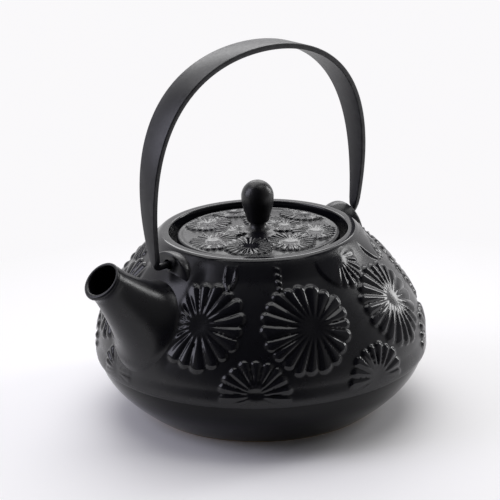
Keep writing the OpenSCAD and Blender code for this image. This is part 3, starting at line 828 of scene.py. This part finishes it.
def bail_path(sizes):
    """Half of the bail's middle line from a pin's tip to the crown, as (x, z) points."""
    bail, lug = sizes.bail, sizes.lugs
    hook = bail.hook_r
    arch = arch_point(bail, lug.pivot_z, np.linspace(0, 1, 90))
    arch = arch[arch[:, 1] > lug.pivot_z + hook]
    start = arch[0]
    pin = np.column_stack([np.linspace(bail.pin_x, start[0] - hook, 9),
                           np.full(9, lug.pivot_z)])
    bend = arc(start[0] - hook, lug.pivot_z + hook, hook, -90, 0, 9)[1:-1]
    return np.vstack([pin, bend, arch])


def make_bail(sizes):
    """The flat strap, swept along its arch from one hooked pin to the other."""
    bail, lug = sizes.bail, sizes.lugs
    half = bail_path(sizes)
    path = np.vstack([half, half[::-1][1:] * (-1, 1)])
    count = len(path)
    bm = bmesh.new()
    bmesh.ops.create_circle(bm, segments=STRAP_STEPS, radius=1.0, cap_ends=False)
    bmesh.ops.spin(bm, geom=bm.verts[:] + bm.edges[:], cent=(0, 0, 0), axis=(0, 0, 1),
                   dvec=(0, 0, 1.0), angle=0.0, steps=count - 1, use_duplicate=False)
    bmesh.ops.holes_fill(bm, edges=[e for e in bm.edges if e.is_boundary], sides=STRAP_STEPS)
    obj = finish_mesh(bm, "bail_strap", 50, outward=False)
    co = coordinates(obj.data)
    index = np.clip(np.round(co[:, 2]).astype(int), 0, count - 1)
    phi = np.arctan2(co[:, 1], co[:, 0])
    slope = np.gradient(path, axis=0)
    slope /= np.hypot(*slope.T)[:, None]
    height = path[:, 1] - lug.pivot_z
    share = np.clip(height / bail.taper_h, 0, 1)
    width = bail.end_w + (bail.strap_w - bail.end_w) * (1 - (1 - share) ** bail.taper_power)
    round_h, turning_h = 0.5 * MM, 3.5 * MM
    flat = smooth((height - round_h) / turning_h)
    width = 2 * bail.pin_r + (width - 2 * bail.pin_r) * flat
    thick = 2 * bail.pin_r + (bail.strap_t - 2 * bail.pin_r) * flat
    half_w, half_t = width / 2, thick / 2
    corner = np.minimum(half_t, np.where(flat < 1, bail.pin_r + (bail.edge - bail.pin_r) * flat,
                                         bail.edge))
    half_w, half_t, corner = half_w[index], half_t[index], corner[index]
    # A rounded rectangle: the corner's centre plus the corner's own turn
    c, s = np.cos(phi), np.sin(phi)
    flat_v = np.sign(c) * (half_w - corner) + corner * c
    flat_u = np.sign(s) * (half_t - corner) + corner * s
    flat_v = np.where(np.abs(c) < 1e-4, 0, flat_v)
    flat_u = np.where(np.abs(s) < 1e-4, 0, flat_u)
    p, d = path[index], slope[index]
    co[:, 0] = p[:, 0] + flat_u * d[:, 1]
    co[:, 2] = p[:, 1] - flat_u * d[:, 0]
    co[:, 1] = flat_v
    set_coordinates(obj.data, co)
    bm = bmesh.new()
    bm.from_mesh(obj.data)
    bmesh.ops.recalc_face_normals(bm, faces=bm.faces)
    bm.to_mesh(obj.data)
    bm.free()
    shade(obj, 60)
    worn_w, fade, least_w = 1.2 * MM, 1.0 * MM, 2.5 * MM
    edge = smooth((np.abs(flat_v) - (half_w - worn_w)) / fade) * (half_w > least_w)
    store(obj.data, "edge", edge)
    return obj


def make_lid(sizes):
    """The sunken lid with its flowers and its locating ring."""
    lid, relief = sizes.lid, sizes.relief
    e = lid.edge_round
    arc_r = lid.radius - e
    side = arc(arc_r, lid.low_z + lid.edge_t - e, e, 0, 90, 9)
    flat_r = steps_between(arc_r, 0, 0.5 * MM)[1:]
    top = [(r, lid_top(lid, r)) for r in flat_r]
    ring_in, ring_z, e = lid.ring_r - lid.ring_t, lid.low_z - lid.ring_h, lid.ease
    ring = [(0, lid.low_z), (ring_in, lid.low_z), (ring_in, ring_z + e), (ring_in + e, ring_z),
            (lid.ring_r - e, ring_z), (lid.ring_r, ring_z + e), (lid.ring_r, lid.low_z),
            (lid.radius - e, lid.low_z), (lid.radius, lid.low_z + e)]
    outline = ring + side + top
    tag = [-1.0] * (len(ring) + len(side)) + [float(r) for r in flat_r]
    bm = revolve(outline, LID_STEPS, closed=False, tag=tag)
    obj = finish_mesh(bm, "lid_cover", 60)
    mesh = obj.data
    co = coordinates(mesh)
    face = stored(mesh, "along") >= 0
    x, y = co[face, 0], co[face, 1]
    r = np.hypot(x, y)
    high = np.zeros(len(x))
    for deg, far, size, count, phase in LID_FLOWERS:
        cx, cy = far * MM * math.cos(math.radians(deg)), far * MM * math.sin(math.radians(deg))
        near = np.hypot(x - cx, y - cy) < CLEAR * size * MM
        form = petals(x[near] - cx, y[near] - cy, size * MM, count, phase, 0.0, 0.0, relief,
                      relief.lid_power)
        high[near] = np.maximum(high[near], form)
    from_knob = r - lid.foot_r
    ground_rise, flower_rise = 4 * MM, 3 * MM
    ground = smooth((arc_r - r) / relief.lid_fade) * smooth(from_knob / ground_rise)
    high *= smooth(from_knob / flower_rise)
    co[face, 2] += ground * (relief.lid_above - relief.lid_depth * (1 - high))
    set_coordinates(mesh, co)
    crest = np.zeros(len(co))
    crest[face] = high * ground
    store(mesh, "crest", crest)
    return obj


def lid_top(lid, r):
    """Height of the lid's upper surface at a radius, without its relief."""
    share = 1 - r / (lid.radius - lid.edge_round)
    return lid.low_z + lid.edge_t + lid.dome * (1 - (1 - share) ** 2)


def make_knob(sizes):
    """The drop-shaped knob on its flared stem."""
    lid = sizes.lid
    share = np.linspace(0, 1, 16)
    foot = [(lid.stem_r + (lid.foot_r - lid.stem_r) * (1 - s) ** 3, lid.stem_h * s)
            for s in share]
    low_z = lid.stem_h + lid.low_round
    low = arc(lid.knob_low_r - lid.low_round, low_z, lid.low_round, -90, -DROP_LEAN, 10)
    ball_z = lid.stem_h + lid.knob_h - lid.knob_r
    start, end = np.array(low[-1]), np.array((lid.knob_r, ball_z))
    lean = math.radians(DROP_LEAN)
    lean = np.array((math.sin(lean), math.cos(lean)))
    reach = 0.45 * (end[1] - start[1])
    handles = start + reach * lean, end - (0, reach)
    side = [tuple((1 - t) ** 3 * start + 3 * (1 - t) ** 2 * t * handles[0]
                  + 3 * (1 - t) * t ** 2 * handles[1] + t ** 3 * end)
            for t in np.linspace(0, 1, 16)[1:]]
    top = arc(0, ball_z, lid.knob_r, 0, 90, 30)[1:]
    top[-1] = (0, ball_z + lid.knob_r)
    points = [(0, -lid.knob_sunk), (lid.foot_r, -lid.knob_sunk)] + foot + low + side + top
    bm = revolve([(r, z + lid.knob_z) for r, z in points], KNOB_STEPS, closed=False)
    return finish_mesh(bm, "knob_drop", 50)


# Materials --------------------------------------------------------------------------------

class Nodes:
    """Short ways to add nodes to a tree."""

    def __init__(self, tree):
        self.tree = tree

    def add(self, kind, **values):
        """A node with some of its sockets set."""
        node = self.tree.nodes.new(kind)
        for socket, value in values.items():
            node.inputs[socket.replace("_", " ")].default_value = value
        return node

    def link(self, start, end):
        """Joins two sockets."""
        self.tree.links.new(start, end)

    def ramp(self, start, low, high, to_low=0.0, to_high=1.0):
        """A value mapped from one range to another, held at both ends."""
        node = self.add("ShaderNodeMapRange")
        for name, value in (("From Min", low), ("From Max", high), ("To Min", to_low),
                            ("To Max", to_high)):
            node.inputs[name].default_value = value
        self.link(start, node.inputs["Value"])
        return node.outputs["Result"]

    def math(self, operation, first, second):
        """Two values joined by arithmetic."""
        node = self.add("ShaderNodeMath")
        node.operation = operation
        for socket, value in zip(node.inputs, (first, second)):
            if isinstance(value, (int, float)):
                socket.default_value = value
            else:
                self.link(value, socket)
        return node.outputs["Value"]

    def seen_directly(self, glossy=True):
        """1 for rays from the camera and, if asked, for those of gloss and glass."""
        path = self.add("ShaderNodeLightPath")
        seen = path.outputs["Is Camera Ray"]
        if glossy:
            seen = self.math("MAXIMUM", seen, path.outputs["Is Glossy Ray"])
            seen = self.math("MAXIMUM", seen, path.outputs["Is Transmission Ray"])
        return seen


class Surface(Nodes):
    """A material with a plain shader and short ways to give it a finish."""

    def __init__(self, name):
        self.material = bpy.data.materials.new(name)
        self.material.use_nodes = True
        super().__init__(self.material.node_tree)
        self.shader = self.tree.nodes["Principled BSDF"]
        self.place = self.add("ShaderNodeTexCoord").outputs["Object"]

    def noise(self, scale, detail=3.0, roughness=0.5, stretch=None):
        """Noise on the object's own coordinates."""
        node = self.add("ShaderNodeTexNoise", Scale=scale, Detail=detail, Roughness=roughness)
        start = self.place
        if stretch:
            mapping = self.add("ShaderNodeMapping", Scale=stretch)
            self.link(start, mapping.inputs["Vector"])
            start = mapping.outputs["Vector"]
        self.link(start, node.inputs["Vector"])
        return node.outputs["Fac"]

    def mix(self, factor, first, second):
        """Two colours mixed by a factor."""
        node = self.add("ShaderNodeMix")
        node.data_type = "RGBA"
        self.link(factor, node.inputs["Factor"])
        for name, value in (("A", first), ("B", second)):
            socket = [s for s in node.inputs if s.name == name and s.type == "RGBA"][0]
            if isinstance(value, bpy.types.NodeSocket):
                self.link(value, socket)
            else:
                socket.default_value = (*value, 1)
        return [s for s in node.outputs if s.type == "RGBA"][0]

    def attribute(self, name):
        """A number that the mesh keeps for each vertex."""
        node = self.add("ShaderNodeAttribute")
        node.attribute_name = name
        return node.outputs["Fac"]

    def bump(self, height, distance, strength):
        """Fine surface texture."""
        node = self.add("ShaderNodeBump", Strength=strength, Distance=distance)
        self.link(height, node.inputs["Height"])
        self.link(node.outputs["Normal"], self.shader.inputs["Normal"])

    def set(self, **values):
        """Sockets of the shader that are the same all over."""
        for socket, value in values.items():
            self.shader.inputs[socket.replace("_", " ")].default_value = value


def toned(plain, factor):
    """A colour made paler or darker by a factor."""
    return tuple(factor * c for c in plain)


def glaze_material(look):
    """Satin black glaze that is paler and glossier on the crests of the relief."""
    m = Surface("black_glaze")
    patches = m.noise(70, 4, 0.55)
    crest = m.ramp(m.attribute("crest"), 0.55, 1.0, 0.0, 0.7)
    thin = m.math("ADD", crest, m.ramp(patches, 0.35, 0.7, 0.0, 0.3))
    m.link(m.mix(thin, look.glaze, look.glaze_thin), m.shader.inputs["Base Color"])
    satin = m.ramp(m.noise(160, 3, 0.6), 0.3, 0.7, 0.26, 0.33)
    glossy = m.ramp(m.attribute("crest"), 0.02, 0.3, 0.0, 0.17)
    m.link(m.math("SUBTRACT", satin, glossy), m.shader.inputs["Roughness"])
    m.bump(m.noise(900, 2, 0.5), 0.04 * MM, 0.3)
    m.set(IOR=1.5, Specular_IOR_Level=0.4)
    return m.material


def shaded_bowl_material(look):
    """Lower bowl's glaze, darker and duller as painted shade, stopping short of the bare foot
    ring.
    """
    m = Surface("bowl_glaze")
    parts = m.add("ShaderNodeSeparateXYZ")
    m.link(m.place, parts.inputs["Vector"])
    wander = m.ramp(m.noise(60, 3, 0.6), 0.3, 0.7, -0.35 * MM, 0.35 * MM)
    height = m.math("ADD", parts.outputs["Z"], wander)
    glazed = m.ramp(height, 1.1 * MM, 1.35 * MM)
    grain = m.noise(2600, 4, 0.65)
    clay = m.mix(m.ramp(grain, 0.35, 0.65), look.clay, toned(look.clay, 0.72))
    # Painted shade: the bowl's colour is darker than the black glaze, with random patches of tone.
    body = m.mix(m.ramp(m.noise(70, 4, 0.55), 0.35, 0.7, 0, 0.5), look.bowl,
                 toned(look.bowl, 1.8))
    m.link(m.mix(glazed, clay, body), m.shader.inputs["Base Color"])
    m.link(m.ramp(glazed, 0, 1, 0.85, 0.15), m.shader.inputs["Roughness"])
    m.bump(grain, 0.06 * MM, 0.3)
    m.set(IOR=1.5, Specular_IOR_Level=0.2)
    return m.material


def knob_material(look):
    """Smooth satin glaze of the knob."""
    m = Surface("knob_glaze_finish")
    patches = m.noise(220, 3, 0.5)
    m.link(m.mix(m.ramp(patches, 0.35, 0.7), look.knob, toned(look.knob, 1.7)),
           m.shader.inputs["Base Color"])
    m.link(m.ramp(m.noise(500, 3, 0.6), 0.3, 0.7, 0.3, 0.37), m.shader.inputs["Roughness"])
    m.bump(m.noise(1300, 2, 0.5), 0.04 * MM, 0.3)
    m.set(IOR=1.5)
    return m.material


def lacquer_material(look):
    """Satin lacquer on steel, rubbed a little along its edges."""
    m = Surface("satin_lacquer")
    rub = m.ramp(m.noise(240, 4, 0.6), 0.35, 0.75)
    worn = m.math("MULTIPLY", m.attribute("edge"), rub)
    m.link(m.mix(worn, look.lacquer, look.worn), m.shader.inputs["Base Color"])
    m.link(m.ramp(m.noise(700, 3, 0.6), 0.3, 0.7, 0.34, 0.42), m.shader.inputs["Roughness"])
    m.bump(m.noise(2400, 2, 0.5), 0.02 * MM, 0.15)
    m.set(IOR=1.5, Specular_IOR_Level=0.38)
    return m.material


def steel_material(look):
    """Brushed stainless sheet with lines that run round the basket."""
    m = Surface("brushed_steel_finish")
    lines = m.noise(300, 3, 0.6, stretch=(1.0, 1.0, 12.0))
    m.link(m.mix(m.ramp(lines, 0.3, 0.7), look.steel, toned(look.steel, 0.86)),
           m.shader.inputs["Base Color"])
    m.link(m.ramp(lines, 0.3, 0.7, 0.26, 0.4), m.shader.inputs["Roughness"])
    m.bump(lines, 0.02 * MM, 0.3)
    m.set(Metallic=1.0)
    return m.material


def dress(obj, material, body, slot, *nodes):
    """Gives a piece its material, the body that it moves with and the nodes it stands for."""
    obj.data.materials.clear()
    obj.data.materials.append(material)
    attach(obj, body)
    if nodes:
        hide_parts(*nodes)


# Operators --------------------------------------------------------------------------------

def settings(context):
    """All of the teapot's settings."""
    return context.scene.teapot


def shared(name, make, look):
    """The material of that name, made when it is first needed."""
    return bpy.data.materials.get(name) or make(look)


class TEAPOT_OT_pot(bpy.types.Operator):
    """Make the pot's body: the relief skin and the lower bowl"""

    bl_idname = "teapot.make_pot"
    bl_label = "Make Pot"

    def execute(self, context):
        sizes = settings(context)
        glaze = shared("black_glaze", glaze_material, sizes.finishes)
        bowl = shared("bowl_glaze", shaded_bowl_material, sizes.finishes)
        dress(make_pot_shoulder(sizes), glaze, "pot", "glaze", "pot_body")
        dress(make_pot_bowl(sizes), bowl, "pot", "glaze", "pot_body")
        return {"FINISHED"}


class TEAPOT_OT_spout(bpy.types.Operator):
    """Make the spout"""

    bl_idname = "teapot.make_spout"
    bl_label = "Make Spout"

    def execute(self, context):
        sizes = settings(context)
        glaze = shared("black_glaze", glaze_material, sizes.finishes)
        dress(make_spout(sizes), glaze, "pot", "glaze", "spout")
        return {"FINISHED"}


class TEAPOT_OT_lugs(bpy.types.Operator):
    """Make the two lugs that carry the bail"""

    bl_idname = "teapot.make_lugs"
    bl_label = "Make Lugs"

    def execute(self, context):
        sizes = settings(context)
        glaze = shared("black_glaze", glaze_material, sizes.finishes)
        for side, name, node in ((1, "spout_side_lug", "front_lug"), (-1, "back_lug", "rear_lug")):
            dress(make_lug(sizes, side, name), glaze, "pot", "glaze", node)
        return {"FINISHED"}


class TEAPOT_OT_bail(bpy.types.Operator):
    """Make the bail handle"""

    bl_idname = "teapot.make_bail"
    bl_label = "Make Bail"

    def execute(self, context):
        sizes = settings(context)
        lacquer = shared("satin_lacquer", lacquer_material, sizes.finishes)
        dress(make_bail(sizes), lacquer, "bail_handle", "bail_paint", "bail")
        return {"FINISHED"}


class TEAPOT_OT_lid(bpy.types.Operator):
    """Make the lid and its knob"""

    bl_idname = "teapot.make_lid"
    bl_label = "Make Lid"

    def execute(self, context):
        sizes = settings(context)
        glaze = shared("black_glaze", glaze_material, sizes.finishes)
        knob = shared("knob_glaze_finish", knob_material, sizes.finishes)
        dress(make_lid(sizes), glaze, "lid_group", "glaze", "lid")
        dress(make_knob(sizes), knob, "lid_group", "knob_glaze", "lid_knob")
        return {"FINISHED"}


class TEAPOT_OT_infuser(bpy.types.Operator):
    """Give the infuser basket its brushed steel"""

    bl_idname = "teapot.finish_infuser"
    bl_label = "Finish Infuser"

    def execute(self, context):
        steel = shared("brushed_steel_finish", steel_material, settings(context).finishes)
        for name in ("infuser_rim", "infuser_wall", "infuser_base"):
            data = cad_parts[name].data
            data.materials.clear()
            data.materials.append(steel)
        return {"FINISHED"}


class TEAPOT_OT_stage(bpy.types.Operator):
    """Make the floor, the lamps, the backdrop and the camera"""

    bl_idname = "teapot.make_stage"
    bl_label = "Make Stage"

    def execute(self, context):
        stage = settings(context).stage
        make_floor(stage)
        make_world(stage)
        make_lamps(stage)
        make_camera(stage)
        return {"FINISHED"}


# Stage ------------------------------------------------------------------------------------

def make_floor(stage):
    """A pale floor that keeps the shadow near the pot and turns into plain backdrop far off."""
    bm = bmesh.new()
    bmesh.ops.create_grid(bm, x_segments=1, y_segments=1, size=stage.floor_half)
    a = stage.azimuth
    back = stage.floor_half - stage.floor_front
    bmesh.ops.rotate(bm, verts=bm.verts, matrix=Matrix.Rotation(a, 3, "Z"))
    bmesh.ops.translate(bm, verts=bm.verts, vec=(-back * math.cos(a), -back * math.sin(a), 0))
    floor = finish_mesh(bm, "floor", outward=False)
    m = Surface("pale_floor")
    m.set(Roughness=0.6, Specular_IOR_Level=0.2)
    m.shader.inputs["Base Color"].default_value = (*stage.backdrop, 1)
    glow = m.add("ShaderNodeEmission", Strength=1.0)
    glow.inputs["Color"].default_value = (*stage.backdrop, 1)
    far = m.add("ShaderNodeVectorMath")
    far.operation = "LENGTH"
    m.link(m.place, far.inputs[0])
    plain = m.ramp(far.outputs["Value"], stage.plain_from, stage.plain_at)
    share = m.math("MULTIPLY", plain, m.seen_directly())
    blend = m.add("ShaderNodeMixShader")
    m.link(share, blend.inputs["Fac"])
    m.link(m.shader.outputs["BSDF"], blend.inputs[1])
    m.link(glow.outputs["Emission"], blend.inputs[2])
    m.link(blend.outputs["Shader"], m.tree.nodes["Material Output"].inputs["Surface"])
    floor.data.materials.append(m.material)


def make_world(stage):
    """A room that is bright behind the pot, dim towards the camera and softly lit at its
    sides."""
    world = bpy.data.worlds.new("studio")
    bpy.context.scene.world = world
    world.use_nodes = True
    m = Nodes(world.node_tree)
    back = world.node_tree.nodes["Background"]
    place = m.add("ShaderNodeTexCoord").outputs["Generated"]
    a = stage.azimuth

    def facing(direction, spread, dim, bright):
        """A level that grows as a ray turns to a direction, between two cosines."""
        dot = m.add("ShaderNodeVectorMath")
        dot.operation = "DOT_PRODUCT"
        dot.inputs[1].default_value = direction
        m.link(place, dot.inputs[0])
        return m.ramp(dot.outputs["Value"], *spread, dim, bright)

    behind = facing((-math.cos(a), -math.sin(a), 0), (0.15, 0.7), stage.front, 1.0)
    left = facing((math.sin(a), -math.cos(a), 0), (0.3, 0.95), 0.0, stage.left_wall)
    right = facing((-math.sin(a), math.cos(a), 0), (0.3, 0.95), 0.0, stage.right_wall)
    level = m.math("MAXIMUM", behind, m.math("ADD", left, right))
    level = m.math("MAXIMUM", level, m.seen_directly(glossy=False))
    back.inputs["Color"].default_value = (*stage.backdrop, 1)
    m.link(level, back.inputs["Strength"])


# Name, size and place of each lamp, which is given towards the camera, to the right and up
LAMPS = (
    ("overhead", (1.0, 0.7), (-0.2, 0, 0.9)),
    ("behind", (0.7, 0.25), (-0.8, 0, 0.6)),
    ("left_side", (0.5, 0.7), (0.1, -0.8, 0.5)),
    ("right_side", (0.18, 0.5), (-0.35, 0.75, 0.38)),
)
# Point that the lamps face
LIT = Vector((0, 0, 0.06))


def make_lamps(stage):
    """Soft rectangular lamps: one overhead, a low one behind and one at each side."""
    a = stage.azimuth
    toward, right = Vector((math.cos(a), math.sin(a), 0)), Vector((-math.sin(a), math.cos(a), 0))
    for name, size, (ahead, aside, up) in LAMPS:
        data = bpy.data.lights.new(name, "AREA")
        data.shape = "RECTANGLE"
        data.size, data.size_y = size
        data.energy = getattr(stage, name)
        lamp = bpy.data.objects.new(name, data)
        lamp.location = ahead * toward + aside * right + Vector((0, 0, up))
        lamp.rotation_mode = "QUATERNION"
        lamp.rotation_quaternion = (LIT - lamp.location).to_track_quat("-Z", "Y")
        bpy.context.scene.collection.objects.link(lamp)
    bpy.data.lights["left_side"].color = stage.left_tint


def make_camera(stage):
    """The camera, given by its distance, its two angles and its roll."""
    a, e = stage.azimuth, stage.elevation
    back = Vector((math.cos(e) * math.cos(a), math.cos(e) * math.sin(a), math.sin(e)))
    right = (-back).cross(Vector((0, 0, 1))).normalized()
    up = back.cross(right)
    c, s = math.cos(stage.roll), math.sin(stage.roll)
    x_axis, y_axis = c * right + s * up, c * up - s * right
    data = bpy.data.cameras.new("camera")
    data.lens = stage.lens
    data.sensor_width = 36
    camera = bpy.data.objects.new("camera", data)
    turned = Matrix((x_axis, y_axis, back)).transposed().to_4x4()
    camera.matrix_world = Matrix.Translation(Vector(stage.aim) + back * stage.distance) @ turned
    bpy.context.scene.collection.objects.link(camera)
    bpy.context.scene.camera = camera


# Add-on -----------------------------------------------------------------------------------

class TeapotSettings(bpy.types.PropertyGroup):
    """Everything that a user would change"""

    pot: PointerProperty(type=PotSizes, name="Pot")
    relief: PointerProperty(type=ReliefSizes, name="Relief")
    spout: PointerProperty(type=SpoutSizes, name="Spout")
    lugs: PointerProperty(type=LugSizes, name="Lugs")
    bail: PointerProperty(type=BailSizes, name="Bail")
    lid: PointerProperty(type=LidSizes, name="Lid")
    finishes: PointerProperty(type=Finishes, name="Finishes")
    stage: PointerProperty(type=StageSettings, name="Stage")


STEPS = (TEAPOT_OT_stage, TEAPOT_OT_pot, TEAPOT_OT_spout, TEAPOT_OT_lugs, TEAPOT_OT_lid,
         TEAPOT_OT_bail, TEAPOT_OT_infuser)


class TEAPOT_PT_panel(bpy.types.Panel):
    """The teapot's steps and settings"""

    bl_idname = "TEAPOT_PT_panel"
    bl_label = "Teapot"
    bl_space_type = "VIEW_3D"
    bl_region_type = "UI"
    bl_category = "Teapot"

    def draw(self, context):
        for step in STEPS:
            self.layout.operator(step.bl_idname)
        groups = settings(context)
        for group in ("pot", "relief", "spout", "lugs", "bail", "lid", "finishes", "stage"):
            box = self.layout.box()
            box.label(text=group.title())
            for name in type(getattr(groups, group)).__annotations__:
                box.prop(getattr(groups, group), name)


CLASSES = (PotSizes, ReliefSizes, SpoutSizes, LugSizes, BailSizes, LidSizes, Finishes,
           StageSettings, TeapotSettings) + STEPS + (TEAPOT_PT_panel,)


def register():
    """Adds the classes and the settings."""
    for cls in CLASSES:
        bpy.utils.register_class(cls)
    bpy.types.Scene.teapot = PointerProperty(type=TeapotSettings, name="Teapot")


def unregister():
    """Takes the settings and the classes out again."""
    del bpy.types.Scene.teapot
    for cls in reversed(CLASSES):
        bpy.utils.unregister_class(cls)


def main():
    """Builds the teapot."""
    register()
    scene = bpy.context.scene
    scene.view_settings.view_transform = "Standard"
    bpy.ops.teapot.make_stage()
    bpy.ops.teapot.make_pot()
    bpy.ops.teapot.make_spout()
    bpy.ops.teapot.make_lugs()
    bpy.ops.teapot.make_lid()
    bpy.ops.teapot.make_bail()
    bpy.ops.teapot.finish_infuser()
    bpy.context.view_layer.update()


if __name__ == "__main__":
    main()
